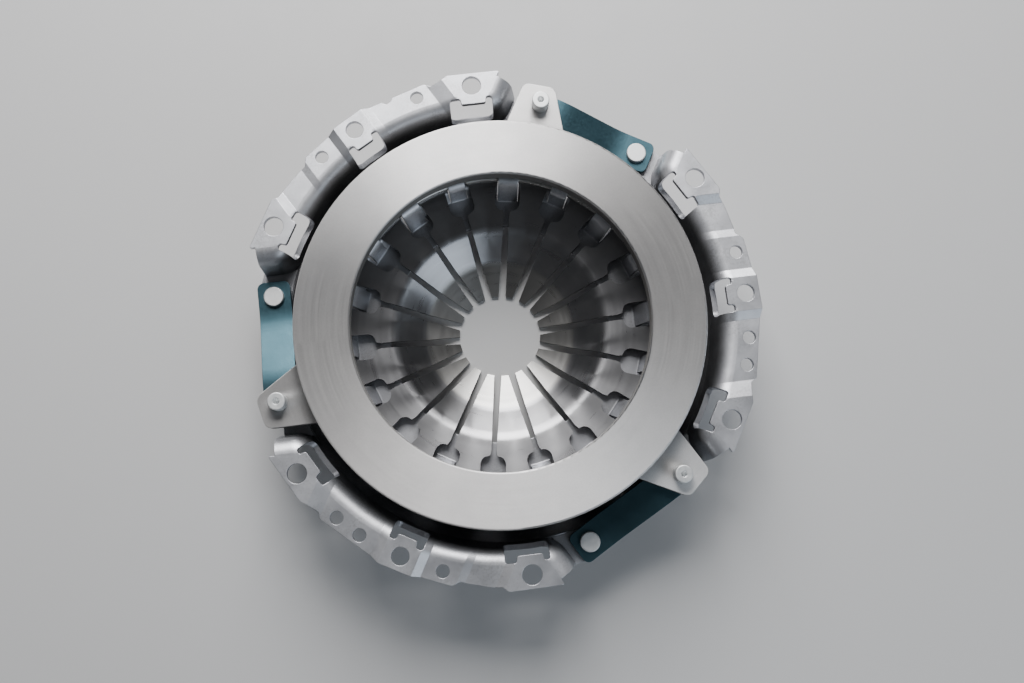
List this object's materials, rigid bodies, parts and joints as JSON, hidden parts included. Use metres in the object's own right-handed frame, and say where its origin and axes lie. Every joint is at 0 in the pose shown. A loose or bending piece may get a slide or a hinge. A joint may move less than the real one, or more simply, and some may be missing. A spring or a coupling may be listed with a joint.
{
  "type": "clutch pressure plate",
  "caption": "Diaphragm-spring clutch cover assembly: pressed steel cover, cast friction ring, slotted diaphragm and leaf drive straps, ready to bolt to a flywheel.",
  "frame": {"origin": "on the axis of rotation, in the plane of the flange's bolt pads", "axes": "+Z towards the flywheel, along the axis of rotation; +X through the middle (dowel) hole of one flange segment; drawn unbolted, standing on its finger tips"},
  "size_m": [0.2305, 0.2361, 0.0526],
  "materials": {
    "pressed_steel": "satin",
    "cast_iron": "ground",
    "spring_steel": "polished",
    "wire": "satin",
    "strap_steel": "blued",
    "rivet_steel": "zinc"
  },
  "bodies": {
    "cover_assembly": {"cover": "pressed_steel", "fulcrum_wire_ring": "wire", "cover_rivet_1": "rivet_steel", "cover_rivet_2": "rivet_steel", "cover_rivet_3": "rivet_steel", "strap_1_leaf_1": "strap_steel", "strap_1_leaf_2": "strap_steel", "strap_1_leaf_3": "strap_steel", "strap_1_leaf_4": "strap_steel", "strap_2_leaf_1": "strap_steel", "strap_2_leaf_2": "strap_steel", "strap_2_leaf_3": "strap_steel", "strap_2_leaf_4": "strap_steel", "strap_3_leaf_1": "strap_steel", "strap_3_leaf_2": "strap_steel", "strap_3_leaf_3": "strap_steel", "strap_3_leaf_4": "strap_steel"},
    "pressure_plate_assembly": {"pressure_plate": "cast_iron", "lug_rivet_1": "rivet_steel", "lug_rivet_2": "rivet_steel", "lug_rivet_3": "rivet_steel"},
    "diaphragm": {"diaphragm_spring": "spring_steel"}
  },
  "joints": [
    {"name": "plate_slide", "type": "slide", "parent": "cover_assembly", "child": "pressure_plate_assembly", "axis": [0, 0, 1], "range_m": [-0.004, 0], "deforming": ["strap_1_leaf_1", "strap_1_leaf_2", "strap_1_leaf_3", "strap_1_leaf_4", "strap_2_leaf_1", "strap_2_leaf_2", "strap_2_leaf_3", "strap_2_leaf_4", "strap_3_leaf_1", "strap_3_leaf_2", "strap_3_leaf_3", "strap_3_leaf_4"]},
    {"name": "finger_travel", "type": "slide", "parent": "cover_assembly", "child": "diaphragm", "axis": [0, 0, 1], "range_m": [0, 0.0164], "stiffness_N_per_m": 60000, "springref_m": -0.002, "deforming": ["diaphragm_spring"]}
  ],
  "couplings": [
    {"joint": "finger_travel", "follows": "plate_slide", "ratio": -4.0769}
  ]
}
